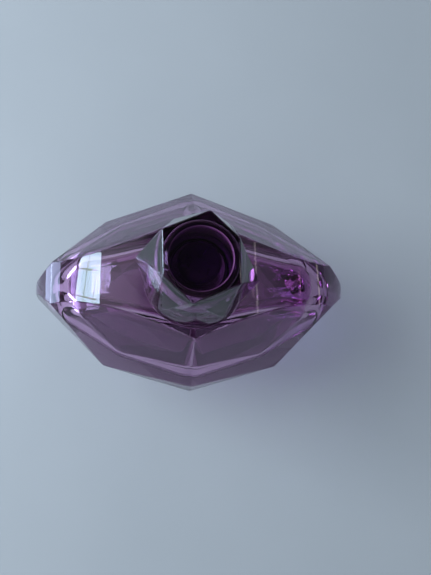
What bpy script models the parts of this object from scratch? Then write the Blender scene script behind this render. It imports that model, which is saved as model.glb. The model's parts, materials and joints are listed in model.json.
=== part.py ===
"""Perfume bottle with a crimped spray pump and a pull-off gem cap, built at real size in metres, +Z up.

The bottle stands on its flat base at z = 0, its two pointed ends lie along X and its front faces -Y.
"""
import math

import bmesh
import bpy
from mathutils import Vector

MM = 0.001
GAP = 0.3 * MM              # room between pieces that seat on or in each other

# Glass body: an arched slab with pointed ends, ground to facets front and back
HALF_WIDTH = 45.5 * MM
TIP_Z = 26.0 * MM
ARCH_RISE = 25.5 * MM
TOP_Z = TIP_Z + ARCH_RISE
GIRDLE_Z = 22.4 * MM        # height of the widest outline, seen from above
SLAB_HALF_DEPTH = 32.0 * MM
BASE_HALF_WIDTH = 29.0 * MM
FRONT_RIDGE = Vector((0, -28.8, 31.7)) * MM
FRONT_GIRDLE = Vector((0, -29.4, 22.4)) * MM
SIDE_GIRDLE = Vector((25.6, -21.9, 22.4)) * MM
END_GIRDLE = Vector((42.4, -5.0, 22.4)) * MM
CROWN_EDGE_Y = -17.5 * MM   # where the top band is widest
BAND_END_X = 40.3 * MM      # where main and end facets meet on the band
BASE_FRONT_Y = -16.0 * MM
BASE_CORNER_X = 21.5 * MM
BAND_BEVEL = 1.0 * MM
FACET_BEVEL = 0.45 * MM

# Inside of the bottle: a smaller body of the same facets, with every corner rolled round
CAVITY_HALF_WIDTH = 36.5 * MM
CAVITY_HALF_DEPTH = 20.5 * MM
CAVITY_TOP_Z = 45.6 * MM
CAVITY_FLOOR_Z = 8.0 * MM
CAVITY_ROLL = 6.0 * MM
FILL_LEVEL_Z = 26.0 * MM

# Neck finish
PAD_RADIUS = 14.5 * MM
PAD_TOP_Z = TOP_Z + 0.4 * MM
NECK_RADIUS = 6.4 * MM
BEAD_RADIUS = 7.4 * MM
BEAD_HEIGHT = 3.0 * MM
LIP_Z = PAD_TOP_Z + 6.6 * MM
BORE_RADIUS = 4.4 * MM

# Spray pump, named downwards from the neck gasket
GASKET_THICKNESS = 0.7 * MM
GASKET_Z = LIP_Z + GAP
FLANGE_THICKNESS = 0.7 * MM
FLANGE_Z = GASKET_Z + GASKET_THICKNESS + GAP
FLANGE_TOP_Z = FLANGE_Z + FLANGE_THICKNESS
SHEET = 0.4 * MM            # ferrule wall
FERRULE_RADIUS = BEAD_RADIUS + GAP + SHEET
FERRULE_PLATE_Z = FLANGE_TOP_Z + GAP
FERRULE_TOP_Z = FERRULE_PLATE_Z + SHEET
TURRET_RADIUS = 3.9 * MM
TURRET_TOP_Z = FERRULE_TOP_Z + 2.2 * MM
HOUSING_RADIUS = 3.7 * MM
HOUSING_BORE = 2.75 * MM
HOUSING_FLOOR_Z = 45.9 * MM
NIPPLE_RADIUS = 2.1 * MM
NIPPLE_END_Z = 38.4 * MM
STEM_RADIUS = 1.45 * MM
STEM_TOP_Z = 67.3 * MM
PISTON_RADIUS = HOUSING_BORE - GAP
PISTON_Z = 54.2 * MM
PISTON_TOP_Z = 57.3 * MM
STROKE = 3.0 * MM
SPRING_RADIUS = 2.0 * MM
SPRING_WIRE = 0.4 * MM
SPRING_TURNS = 6
BALL_RADIUS = 0.95 * MM
BALL_Z = 44.8 * MM
TUBE_RADIUS = 0.95 * MM
TUBE_END_Z = CAVITY_FLOOR_Z + 1.6 * MM

# Spray button
BUTTON_RADIUS = 5.9 * MM
BUTTON_Z = FERRULE_TOP_Z + GAP + STROKE
BUTTON_TOP_Z = 69.1 * MM
CHANNEL_Z = 67.75 * MM
CHANNEL_RADIUS = 0.3 * MM
NOZZLE_Z = 67.1 * MM
NOZZLE_RADIUS = 1.0 * MM
NOZZLE_DEPTH = 1.3 * MM

# Collar round the ferrule
COLLAR_RADIUS = 10.2 * MM
COLLAR_FOOT_RADIUS = 12.6 * MM
COLLAR_Z = PAD_TOP_Z + GAP
COLLAR_FOOT_TOP_Z = COLLAR_Z + 1.2 * MM

# Cap: clear gem with a thin inner cup
CAP_Z = PAD_TOP_Z + GAP
CAP_TABLE_Z = 78.0 * MM
CAP_GIRDLE_Z = 62.5 * MM
CAP_BASE_RADIUS = 14.5 * MM
# Corners as degrees and mm from the axis; each stands again half a turn on
CAP_TABLE_CORNERS = ((27.0, 10.8), (79.5, 12.1), (145.0, 12.1))
CAP_GIRDLE_CORNERS = ((50.5, 14.9), (116.0, 14.8), (169.5, 16.7))
LINER_WALL = 1.0 * MM
LINER_Z = COLLAR_FOOT_TOP_Z + GAP
LINER_CEILING_Z = BUTTON_TOP_Z + 4.2 * MM
LINER_TOP_Z = LINER_CEILING_Z + 0.9 * MM
LINER_RADIUS = COLLAR_RADIUS + GAP + LINER_WALL
LINER_SHOULDER_Z = 64.5 * MM
LINER_CROWN_RADIUS = 9.3 * MM
LINER_CROWN_BORE = 8.6 * MM     # inside, just under the ceiling

parts = None
cutters = None


def start_scene():
    global parts, cutters
    for old in list(bpy.data.objects):
        bpy.data.objects.remove(old, do_unlink=True)
    parts = bpy.data.collections.new("perfume_bottle")
    cutters = bpy.data.collections.new("cutters")
    for collection in (parts, cutters):
        bpy.context.scene.collection.children.link(collection)


def material(name, colour, roughness, metallic=0.0, transmission=0.0):
    made = bpy.data.materials.new(name)
    made.use_nodes = True
    shader = made.node_tree.nodes["Principled BSDF"]
    shader.inputs["Base Color"].default_value = (*colour, 1.0)
    shader.inputs["Roughness"].default_value = roughness
    shader.inputs["Metallic"].default_value = metallic
    shader.inputs["Transmission Weight"].default_value = transmission
    made.diffuse_color = (*colour, 1.0)
    return made


def add_object(name, mesh, finish=None, origin=(0, 0, 0)):
    """Link a mesh given in world coordinates, with its origin moved to a chosen point."""
    made = bpy.data.objects.new(name, mesh)
    made.location = origin
    for vertex in mesh.vertices:
        vertex.co -= Vector(origin)
    if finish is None:
        cutters.objects.link(made)
        made.hide_render = True
        made.display_type = "WIRE"
    else:
        parts.objects.link(made)
        mesh.materials.append(finish)
    return made


def mesh_of(name, bm):
    mesh = bpy.data.meshes.new(name)
    bm.to_mesh(mesh)
    bm.free()
    return mesh


def turned(name, profile, steps, finish=None, closed=True, origin_z=0.0):
    """Turn an (r, z) profile about Z; it runs down its outer side, and back up inside when closed."""
    mesh = bpy.data.meshes.new(name)
    count = len(profile)
    edges = [(i, i + 1) for i in range(count - 1)]
    if closed:
        edges.append((count - 1, 0))
    mesh.from_pydata([(r, 0, z) for r, z in profile], edges, [])
    made = add_object(name, mesh, finish, (0, 0, origin_z))
    screw = made.modifiers.new("turn", "SCREW")
    screw.steps = screw.render_steps = steps
    screw.use_merge_vertices = True
    screw.merge_threshold = 1e-5
    screw.use_smooth_shade = True
    return made


def arc(centre_r, centre_z, radius, start, end, steps):
    """Points of an arc in the (r, z) plane, angles in degrees from +r towards +z."""
    angles = [math.radians(start + (end - start) * i / steps) for i in range(steps + 1)]
    return [(centre_r + radius * math.cos(a), centre_z + radius * math.sin(a)) for a in angles]


def boolean(target, other, operation):
    cut = target.modifiers.new(other.name, "BOOLEAN")
    cut.operation = operation
    cut.solver = "EXACT"
    cut.object = other


# ---------------------------------------------------------------- glass body

def arch_z(x):
    return TIP_Z + ARCH_RISE * math.sqrt(max(0.0, 1.0 - (x / HALF_WIDTH) ** 2))


def slab(steps=56):
    """Extrude the front outline (arched top, straight sides, flat base) from front to back."""
    turn = [math.pi * (i / steps - 0.5) for i in range(steps + 1)]
    outline = [(HALF_WIDTH * math.sin(t), TIP_Z + ARCH_RISE * math.cos(t)) for t in turn]
    outline += [(HALF_WIDTH - 0.2 * MM, GIRDLE_Z), (BASE_HALF_WIDTH, 0.0)]
    outline += [(-BASE_HALF_WIDTH, 0.0), (-HALF_WIDTH + 0.2 * MM, GIRDLE_Z)]
    bm = bmesh.new()
    face = bm.faces.new([bm.verts.new((x, -SLAB_HALF_DEPTH, z)) for x, z in outline])
    grown = bmesh.ops.extrude_face_region(bm, geom=[face])["geom"]
    moved = [v for v in grown if isinstance(v, bmesh.types.BMVert)]
    bmesh.ops.translate(bm, vec=(0, 2 * SLAB_HALF_DEPTH, 0), verts=moved)
    bmesh.ops.recalc_face_normals(bm, faces=bm.faces)
    return bm


def grind(bm, a, b, c):
    """Grind one flat facet: cut by the plane through three points and close the cut."""
    normal = (b - a).cross(c - a).normalized()
    if normal.dot(a - Vector((0, 0, TIP_Z / 2))) < 0:
        normal.negate()
    everything = bm.verts[:] + bm.edges[:] + bm.faces[:]
    cut = bmesh.ops.bisect_plane(bm, geom=everything, plane_co=a, plane_no=normal, clear_outer=True)
    rim = [e for e in cut["geom_cut"] if isinstance(e, bmesh.types.BMEdge)]
    bmesh.ops.contextual_create(bm, geom=rim)


def on_plane(a, b, c, x, z):
    """The point of the plane through a, b and c that has this x and z."""
    normal = (b - a).cross(c - a)
    y = a.y - (normal.x * (x - a.x) + normal.z * (z - a.z)) / normal.y
    return Vector((x, y, z))


def facet_planes():
    """The five facets of the front right quarter, each as three points."""
    crown = Vector((0, CROWN_EDGE_Y, TOP_Z))
    band_end = on_plane(FRONT_RIDGE, SIDE_GIRDLE, crown, BAND_END_X, arch_z(BAND_END_X))
    base_front = Vector((0, BASE_FRONT_Y, 0))
    base_corner = on_plane(FRONT_GIRDLE, SIDE_GIRDLE, base_front, BASE_CORNER_X, 0)
    return (
        (FRONT_RIDGE, SIDE_GIRDLE, crown),
        (SIDE_GIRDLE, END_GIRDLE, band_end),
        (FRONT_RIDGE, SIDE_GIRDLE, FRONT_GIRDLE),
        (FRONT_GIRDLE, SIDE_GIRDLE, base_front),
        (SIDE_GIRDLE, END_GIRDLE, base_corner),
    )


def bevel_edges(bm, edges, offset, segments):
    bmesh.ops.bevel(bm, geom=edges, offset=offset, segments=segments, profile=0.5,
                    affect="EDGES", clamp_overlap=True)


def is_rolled(face):
    """True on the faces left of the extruded outline, which run straight from front to back."""
    return abs(face.normal.y) < 0.01


def ground_slab(steps=56):
    """The slab with all its facets ground and its edges still sharp."""
    bm = slab(steps)
    for points in facet_planes():
        for across in (1, -1):
            for depth in (1, -1):
                grind(bm, *[Vector((p.x * across, p.y * depth, p.z)) for p in points])
    bmesh.ops.remove_doubles(bm, verts=bm.verts, dist=0.02 * MM)
    bmesh.ops.dissolve_limit(bm, angle_limit=math.radians(0.5), verts=bm.verts, edges=bm.edges)
    return bm


def body_blank():
    bm = ground_slab()
    band = [e for e in bm.edges if is_rolled(e.link_faces[0]) != is_rolled(e.link_faces[1])
            and min(v.co.z for v in e.verts) > GIRDLE_Z - 1 * MM]
    bevel_edges(bm, band, BAND_BEVEL, 2)
    sharp = [e for e in bm.edges if e.is_manifold and e.calc_face_angle(0.0) > math.radians(7.5)
             and not (is_rolled(e.link_faces[0]) and is_rolled(e.link_faces[1]))
             and e.calc_length() > 3 * MM]
    bevel_edges(bm, sharp, FACET_BEVEL, 2)
    bmesh.ops.recalc_face_normals(bm, faces=bm.faces)
    return mesh_of("bottle_glass", bm)


def ball_points(radius, rings=8, around=16):
    points = [Vector((0, 0, radius)), Vector((0, 0, -radius))]
    for i in range(1, rings):
        tilt = math.pi * i / rings
        for j in range(around):
            turn = 2 * math.pi * j / around
            flat = math.sin(tilt)
            points.append(Vector((flat * math.cos(turn), flat * math.sin(turn), math.cos(tilt))) * radius)
    return points


def cavity_form(name, inset, top_z=None):
    """The hollow: the ground body made smaller, with a ball rolled round it; a fill stops level at top_z."""
    scale = Vector((
        (CAVITY_HALF_WIDTH - CAVITY_ROLL) / HALF_WIDTH,
        (CAVITY_HALF_DEPTH - CAVITY_ROLL) / -FRONT_RIDGE.y,
        (CAVITY_TOP_Z - CAVITY_FLOOR_Z - 2 * CAVITY_ROLL) / TOP_Z,
    ))
    small = ground_slab(30)
    low = Vector((0, 0, CAVITY_FLOOR_Z + CAVITY_ROLL))
    centres = [low + v.co * scale for v in small.verts]
    small.free()
    bm = bmesh.new()
    for centre in centres:
        for reach in ball_points(CAVITY_ROLL - inset):
            bm.verts.new(centre + reach)
    bmesh.ops.convex_hull(bm, input=bm.verts)
    bmesh.ops.delete(bm, geom=[v for v in bm.verts if not v.link_faces], context="VERTS")
    if top_z is not None:
        everything = bm.verts[:] + bm.edges[:] + bm.faces[:]
        level = bmesh.ops.bisect_plane(bm, geom=everything, plane_co=(0, 0, top_z), plane_no=(0, 0, 1),
                                       clear_outer=True)
        rim = [e for e in level["geom_cut"] if isinstance(e, bmesh.types.BMEdge)]
        bmesh.ops.contextual_create(bm, geom=rim)
    bmesh.ops.recalc_face_normals(bm, faces=bm.faces)
    return mesh_of(name, bm)


def bottle_glass():
    glass = material("tinted_glass", (0.36, 0.24, 0.42), 0.04, transmission=0.9)
    body = add_object("bottle_glass", body_blank(), glass)
    bead_z = LIP_Z - 0.5 * MM - BEAD_HEIGHT
    neck = [(0, LIP_Z), (BEAD_RADIUS - 0.9 * MM, LIP_Z), (BEAD_RADIUS - 0.25 * MM, LIP_Z - 0.25 * MM)]
    neck += [(BEAD_RADIUS, LIP_Z - 0.9 * MM), (BEAD_RADIUS, bead_z + 0.5 * MM)]
    neck += [(BEAD_RADIUS - 0.4 * MM, bead_z), (NECK_RADIUS, bead_z - 0.4 * MM)]
    neck += arc(NECK_RADIUS + 1.0 * MM, PAD_TOP_Z + 1.0 * MM, 1.0 * MM, 180, 270, 3)
    neck += [(PAD_RADIUS - 0.3 * MM, PAD_TOP_Z), (PAD_RADIUS, PAD_TOP_Z - 0.3 * MM)]
    neck += [(PAD_RADIUS, TOP_Z - 3.0 * MM), (0, TOP_Z - 3.0 * MM)]
    boolean(body, turned("neck_form", neck, 40, closed=False), "UNION")
    boolean(body, add_object("cavity_form", cavity_form("cavity_form", 0.0)), "DIFFERENCE")
    bore = [(0, LIP_Z + 1 * MM), (BORE_RADIUS + 1.3 * MM, LIP_Z + 1 * MM), (BORE_RADIUS, LIP_Z - 0.3 * MM)]
    bore += [(BORE_RADIUS, CAVITY_TOP_Z - 3 * MM), (0, CAVITY_TOP_Z - 3 * MM)]
    boolean(body, turned("bore_form", bore, 32, closed=False), "DIFFERENCE")
    return body


def perfume_fill():
    liquid = material("perfume", (0.62, 0.38, 0.58), 0.0, transmission=1.0)
    fill = add_object("perfume_fill", cavity_form("perfume_fill", GAP, FILL_LEVEL_Z), liquid)
    shaft, low = TUBE_RADIUS + GAP, TUBE_END_Z - GAP
    around = [(0, FILL_LEVEL_Z + 2 * MM), (shaft, FILL_LEVEL_Z + 2 * MM), (shaft, low), (0, low)]
    boolean(fill, turned("tube_room_form", around, 24, closed=False), "DIFFERENCE")


# ---------------------------------------------------------------- spray pump

def neck_gasket():
    rubber = material("gasket_rubber", (0.75, 0.75, 0.73), 0.6)
    z, top = GASKET_Z, GASKET_Z + GASKET_THICKNESS
    outer, inner = BEAD_RADIUS - 0.5 * MM, BORE_RADIUS + 0.1 * MM
    turned("neck_gasket", [(outer, top), (outer, z), (inner, z), (inner, top)], 30, rubber)


def crimp_ferrule():
    metal = material("ferrule_aluminium", (0.55, 0.45, 0.62), 0.28, metallic=1.0)
    outer, inner = FERRULE_RADIUS, FERRULE_RADIUS - SHEET
    turret_inner, hole = TURRET_RADIUS - SHEET, STEM_RADIUS + 0.55 * MM
    crimp_z = LIP_Z - 0.5 * MM - BEAD_HEIGHT - GAP - SHEET
    profile = [(hole, TURRET_TOP_Z), (TURRET_RADIUS - 0.5 * MM, TURRET_TOP_Z)]
    profile += [(TURRET_RADIUS, TURRET_TOP_Z - 0.5 * MM), (TURRET_RADIUS, FERRULE_TOP_Z)]
    profile += [(outer - 0.6 * MM, FERRULE_TOP_Z), (outer, FERRULE_TOP_Z - 0.6 * MM)]
    profile += [(outer, crimp_z + 0.3 * MM), (outer - 0.5 * MM, crimp_z - 0.3 * MM)]
    profile += [(NECK_RADIUS + 0.6 * MM, crimp_z - 0.3 * MM), (NECK_RADIUS + 0.6 * MM, crimp_z + 0.1 * MM)]
    profile += [(inner - 0.1 * MM, crimp_z + 0.1 * MM), (inner, crimp_z + 0.5 * MM)]
    profile += [(inner, FERRULE_PLATE_Z), (turret_inner, FERRULE_PLATE_Z)]
    profile += [(turret_inner, TURRET_TOP_Z - SHEET), (hole, TURRET_TOP_Z - SHEET)]
    turned("crimp_ferrule", profile, 36, metal)


def pump_housing():
    plastic = material("housing_polypropylene", (0.82, 0.82, 0.80), 0.35)
    recess = 3.2 * MM
    shoulder_z = HOUSING_FLOOR_Z - 1.4 * MM
    socket = TUBE_RADIUS + GAP
    socket_z = HOUSING_FLOOR_Z - 3.5 * MM
    seat_r = 0.75 * MM
    profile = [(recess, FLANGE_TOP_Z), (BEAD_RADIUS - 0.6 * MM, FLANGE_TOP_Z), (BEAD_RADIUS - 0.6 * MM, FLANGE_Z)]
    profile += [(HOUSING_RADIUS, FLANGE_Z), (HOUSING_RADIUS, shoulder_z)]
    profile += [(NIPPLE_RADIUS, shoulder_z - 1.5 * MM), (NIPPLE_RADIUS, NIPPLE_END_Z + 0.3 * MM)]
    profile += [(NIPPLE_RADIUS - 0.3 * MM, NIPPLE_END_Z), (socket, NIPPLE_END_Z), (socket, socket_z)]
    profile += [(seat_r, socket_z), (seat_r, BALL_Z - 1.3 * MM), (1.35 * MM, BALL_Z - 0.6 * MM)]
    profile += [(1.35 * MM, HOUSING_FLOOR_Z), (HOUSING_BORE, HOUSING_FLOOR_Z)]
    profile += [(HOUSING_BORE, FLANGE_TOP_Z - 1.3 * MM), (recess, FLANGE_TOP_Z - 1.3 * MM)]
    turned("pump_housing", profile, 28, plastic)


def stem_guide():
    plastic = material("guide_acetal", (0.86, 0.86, 0.84), 0.4)
    outer, bore = TURRET_RADIUS - SHEET - GAP, STEM_RADIUS + GAP
    z, top = FLANGE_TOP_Z + GAP, TURRET_TOP_Z - SHEET - GAP
    turned("stem_guide", [(bore, top), (outer - 0.4 * MM, top), (outer, top - 0.4 * MM), (outer, z), (bore, z)],
           24, plastic)


def stem_gasket():
    rubber = material("seal_nitrile", (0.05, 0.05, 0.05), 0.6)
    z, top = FLANGE_TOP_Z - 1.0 * MM, FLANGE_TOP_Z - 0.2 * MM
    outer, bore = 2.9 * MM, STEM_RADIUS + GAP
    turned("stem_gasket", [(outer, top), (outer, z), (bore, z), (bore, top)], 24, rubber)


def pump_stem():
    plastic = material("stem_acetal", (0.9, 0.9, 0.88), 0.35)
    bore, spigot, collar = 0.5 * MM, 1.0 * MM, 2.2 * MM
    collar_z, collar_top = PISTON_TOP_Z + GAP, FLANGE_TOP_Z - 1.3 * MM - GAP
    profile = [(bore, STEM_TOP_Z), (STEM_RADIUS - 0.2 * MM, STEM_TOP_Z), (STEM_RADIUS, STEM_TOP_Z - 0.3 * MM)]
    profile += [(STEM_RADIUS, collar_top), (collar, collar_top), (collar, collar_z), (spigot, collar_z)]
    profile += [(spigot, PISTON_Z + 0.8 * MM), (bore, PISTON_Z + 0.8 * MM)]
    turned("pump_stem", profile, 24, plastic, origin_z=STEM_TOP_Z)


def pump_piston():
    plastic = material("piston_polyethylene", (0.8, 0.85, 0.9), 0.45)
    outer, waist, bore = PISTON_RADIUS, PISTON_RADIUS - 0.45 * MM, 1.0 * MM + GAP
    lip = 0.7 * MM
    profile = [(bore, PISTON_TOP_Z), (outer, PISTON_TOP_Z), (outer, PISTON_TOP_Z - lip)]
    profile += [(waist, PISTON_TOP_Z - 2 * lip), (waist, PISTON_Z + 2 * lip), (outer, PISTON_Z + lip)]
    profile += [(outer, PISTON_Z), (bore, PISTON_Z)]
    turned("pump_piston", profile, 24, plastic, origin_z=PISTON_TOP_Z)


def return_spring():
    steel = material("spring_steel", (0.6, 0.6, 0.62), 0.2, metallic=1.0)
    low = HOUSING_FLOOR_Z + GAP + SPRING_WIRE / 2
    high = PISTON_Z - GAP - SPRING_WIRE / 2
    per_turn = 10
    count = SPRING_TURNS * per_turn + 1
    curve = bpy.data.curves.new("return_spring", "CURVE")
    curve.dimensions = "3D"
    curve.bevel_depth = SPRING_WIRE / 2
    curve.bevel_resolution = 2
    curve.use_fill_caps = True
    line = curve.splines.new("POLY")
    line.points.add(count - 1)
    for i, point in enumerate(line.points):
        share = i / (count - 1)
        dead = 0.12             # share of the height spent in each closed end coil
        rise = min(1.0, max(0.0, (share - dead) / (1 - 2 * dead)))
        lift = SPRING_WIRE * 1.15 * (min(share, dead) + max(0.0, share - 1 + dead)) / (2 * dead)
        height = low + lift + (high - low - SPRING_WIRE * 1.15) * rise
        angle = 2 * math.pi * i / per_turn
        point.co = (SPRING_RADIUS * math.cos(angle), SPRING_RADIUS * math.sin(angle), height - low, 1.0)
    made = bpy.data.objects.new("return_spring", curve)
    made.location.z = low
    curve.materials.append(steel)
    parts.objects.link(made)


def inlet_ball():
    steel = material("ball_steel", (0.65, 0.65, 0.67), 0.12, metallic=1.0)
    bm = bmesh.new()
    bmesh.ops.create_icosphere(bm, subdivisions=2, radius=BALL_RADIUS)
    bmesh.ops.translate(bm, vec=(0, 0, BALL_Z), verts=bm.verts)
    for face in bm.faces:
        face.smooth = True
    add_object("inlet_ball", mesh_of("inlet_ball", bm), steel, (0, 0, BALL_Z))


def dip_tube():
    plastic = material("tube_polyethylene", (0.85, 0.85, 0.85), 0.3, transmission=0.6)
    bore, top = 0.5 * MM, HOUSING_FLOOR_Z - 3.5 * MM - GAP
    profile = [(TUBE_RADIUS, top), (TUBE_RADIUS, TUBE_END_Z), (bore, TUBE_END_Z), (bore, top)]
    tube = turned("dip_tube", profile, 16, plastic)
    bm = bmesh.new()
    bmesh.ops.create_cube(bm, size=4 * MM)
    for vertex in bm.verts:      # a slanting end keeps the tube from sealing against the floor
        vertex.co = Vector((vertex.co.x, vertex.co.y, vertex.co.z + vertex.co.x * 0.6 + TUBE_END_Z - 1.4 * MM))
    boolean(tube, add_object("tube_end_form", mesh_of("tube_end_form", bm)), "DIFFERENCE")


def actuator_button():
    plastic = material("button_plastic", (0.16, 0.05, 0.22), 0.18)
    hollow, socket = TURRET_RADIUS + 0.4 * MM, STEM_RADIUS + GAP
    hollow_z = TURRET_TOP_Z + STROKE + GAP
    socket_z = STEM_TOP_Z + GAP
    chamber, chamber_z = 0.7 * MM, CHANNEL_Z + CHANNEL_RADIUS + 0.15 * MM
    profile = [(0, BUTTON_TOP_Z - 0.45 * MM), (BUTTON_RADIUS - 2.4 * MM, BUTTON_TOP_Z - 0.3 * MM)]
    profile += [(BUTTON_RADIUS - 1.1 * MM, BUTTON_TOP_Z)]
    profile += arc(BUTTON_RADIUS - 0.6 * MM, BUTTON_TOP_Z - 0.6 * MM, 0.6 * MM, 75, 0, 3)
    profile += [(BUTTON_RADIUS, BUTTON_Z), (hollow, BUTTON_Z), (hollow, hollow_z), (socket, hollow_z)]
    profile += [(socket, socket_z), (chamber, socket_z), (chamber, chamber_z), (0, chamber_z)]
    button = turned("actuator_button", profile, 36, plastic, closed=False, origin_z=STEM_TOP_Z)
    mouth = BUTTON_RADIUS - NOZZLE_DEPTH
    room = across_y("nozzle_form", NOZZLE_RADIUS + GAP, NOZZLE_Z, mouth, BUTTON_RADIUS + 1 * MM, 20)
    boolean(button, room, "DIFFERENCE")
    boolean(button, across_y("channel_form", CHANNEL_RADIUS, CHANNEL_Z, 0.2 * MM, mouth + 0.2 * MM, 8), "DIFFERENCE")


def across_y(name, radius, height, near, far, sides):
    """A round cutter lying along Y, between two distances in front of the axis."""
    bm = bmesh.new()
    bmesh.ops.create_cone(bm, cap_ends=True, segments=sides, radius1=radius, radius2=radius, depth=far - near)
    for vertex in bm.verts:
        x, y, z = vertex.co
        vertex.co = (x, -(near + far) / 2 - z, height + y)
    return add_object(name, mesh_of(name, bm))


def nozzle_insert():
    plastic = material("nozzle_plastic", (0.1, 0.04, 0.14), 0.3)
    bm = bmesh.new()
    orifice = 0.3 * MM
    front, back = BUTTON_RADIUS - 0.25 * MM, BUTTON_RADIUS - NOZZLE_DEPTH + GAP
    rings = ((NOZZLE_RADIUS, back), (NOZZLE_RADIUS, front - 0.15 * MM), (NOZZLE_RADIUS - 0.15 * MM, front),
             (orifice * 2, front), (orifice, front - 0.25 * MM), (orifice, back))
    sides = 16
    loops = []
    for radius, y in rings:
        turn = [2 * math.pi * i / sides for i in range(sides)]
        loops.append([bm.verts.new((radius * math.cos(t), -y, NOZZLE_Z + radius * math.sin(t))) for t in turn])
    for ring, following in zip(loops, loops[1:] + loops[:1]):
        for i in range(sides):
            bm.faces.new((ring[i], ring[(i + 1) % sides], following[(i + 1) % sides], following[i]))
    bmesh.ops.recalc_face_normals(bm, faces=bm.faces)
    add_object("nozzle_insert", mesh_of("nozzle_insert", bm), plastic, (0, 0, NOZZLE_Z))


def collar():
    metal = material("collar_metallised", (0.30, 0.12, 0.38), 0.15, metallic=1.0)
    inner = FERRULE_RADIUS + GAP
    profile = [(inner, FERRULE_TOP_Z), (COLLAR_RADIUS - 0.5 * MM, FERRULE_TOP_Z)]
    profile += [(COLLAR_RADIUS, FERRULE_TOP_Z - 0.5 * MM), (COLLAR_RADIUS, COLLAR_FOOT_TOP_Z)]
    profile += [(COLLAR_FOOT_RADIUS - 0.4 * MM, COLLAR_FOOT_TOP_Z)]
    profile += [(COLLAR_FOOT_RADIUS, COLLAR_FOOT_TOP_Z - 0.4 * MM), (COLLAR_FOOT_RADIUS, COLLAR_Z)]
    profile += [(inner, COLLAR_Z)]
    turned("collar_ring", profile, 40, metal)


# ---------------------------------------------------------------- cap

def liner_outline(grow):
    """Outer side of the inner cup from its top rim edge down to its foot, moved out by grow."""
    shoulder_drop = LINER_TOP_Z - LINER_SHOULDER_Z
    crown, side = LINER_CROWN_RADIUS + grow, LINER_RADIUS + grow
    points = [(crown - 0.8 * MM, LINER_TOP_Z + grow)]
    for i in range(6):
        t = math.radians(90 * i / 5)
        z = LINER_SHOULDER_Z + grow + (shoulder_drop - 0.5 * MM) * math.cos(t)
        points.append((crown + (side - crown) * math.sin(t), z))
    return points


def cap_liner():
    tint = material("liner_tinted_plastic", (0.14, 0.03, 0.22), 0.08, transmission=0.5)
    foot = COLLAR_FOOT_RADIUS
    outer = [(0, LINER_TOP_Z)] + liner_outline(0.0)
    outer += [(LINER_RADIUS, LINER_Z + 0.9 * MM), (foot, LINER_Z + 0.9 * MM), (foot, LINER_Z)]
    corner_z = LINER_CEILING_Z - 0.4 * MM
    inner = [(r, z) for r, z in liner_outline(-LINER_WALL) if z < corner_z and r > LINER_CROWN_BORE]
    inner = [(COLLAR_RADIUS + GAP, LINER_Z)] + list(reversed(inner))
    inner += [(LINER_CROWN_BORE, corner_z), (LINER_CROWN_BORE - 0.4 * MM, LINER_CEILING_Z), (0, LINER_CEILING_Z)]
    turned("cap_liner", outer + inner, 40, tint, closed=False, origin_z=CAP_Z)


def ring_points(radius, z, count, turn=0.0):
    angles = [math.radians(turn + 360 * i / count) for i in range(count)]
    return [Vector((radius * math.cos(a), radius * math.sin(a), z)) for a in angles]


def cap_blank():
    """Skin of the gem: a round foot, a girdle of six corners and a six-sided table."""
    points = ring_points(CAP_BASE_RADIUS, CAP_Z, 48) + ring_points(CAP_BASE_RADIUS, CAP_Z + 0.6 * MM, 48)
    for corners, height in ((CAP_TABLE_CORNERS, CAP_TABLE_Z), (CAP_GIRDLE_CORNERS, CAP_GIRDLE_Z)):
        for azimuth, radius in corners:
            points += ring_points(radius * MM, height, 2, azimuth)
    bm = bmesh.new()
    for point in points:
        bm.verts.new(point)
    bmesh.ops.convex_hull(bm, input=bm.verts)
    bmesh.ops.delete(bm, geom=[v for v in bm.verts if not v.link_faces], context="VERTS")
    bmesh.ops.dissolve_limit(bm, angle_limit=math.radians(0.5), verts=bm.verts, edges=bm.edges)
    sharp = [e for e in bm.edges if e.calc_face_angle(0.0) > math.radians(14)
             and max(v.co.z for v in e.verts) > CAP_GIRDLE_Z - 1 * MM]
    bevel_edges(bm, sharp, 0.25 * MM, 2)
    bmesh.ops.recalc_face_normals(bm, faces=bm.faces)
    return mesh_of("cap_outer", bm)


def cap_outer():
    clear = material("cap_clear_plastic", (0.9, 0.88, 0.93), 0.02, transmission=1.0)
    cap = add_object("cap_outer", cap_blank(), clear, (0, 0, CAP_Z))
    foot = COLLAR_FOOT_RADIUS + GAP
    step_z = LINER_Z + 0.9 * MM + GAP
    room = [(0, LINER_TOP_Z + GAP)] + liner_outline(GAP)
    room += [(LINER_RADIUS + GAP, step_z), (foot, step_z), (foot, CAP_Z - 1 * MM), (0, CAP_Z - 1 * MM)]
    boolean(cap, turned("liner_room_form", room, 40, closed=False), "DIFFERENCE")


start_scene()
bottle_glass()
perfume_fill()
neck_gasket()
crimp_ferrule()
collar()
pump_housing()
stem_guide()
stem_gasket()
pump_stem()
pump_piston()
return_spring()
inlet_ball()
dip_tube()
actuator_button()
nozzle_insert()
cap_outer()
cap_liner()
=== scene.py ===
import json
import math

import bmesh
import bpy
from mathutils import Matrix, Vector


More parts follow.
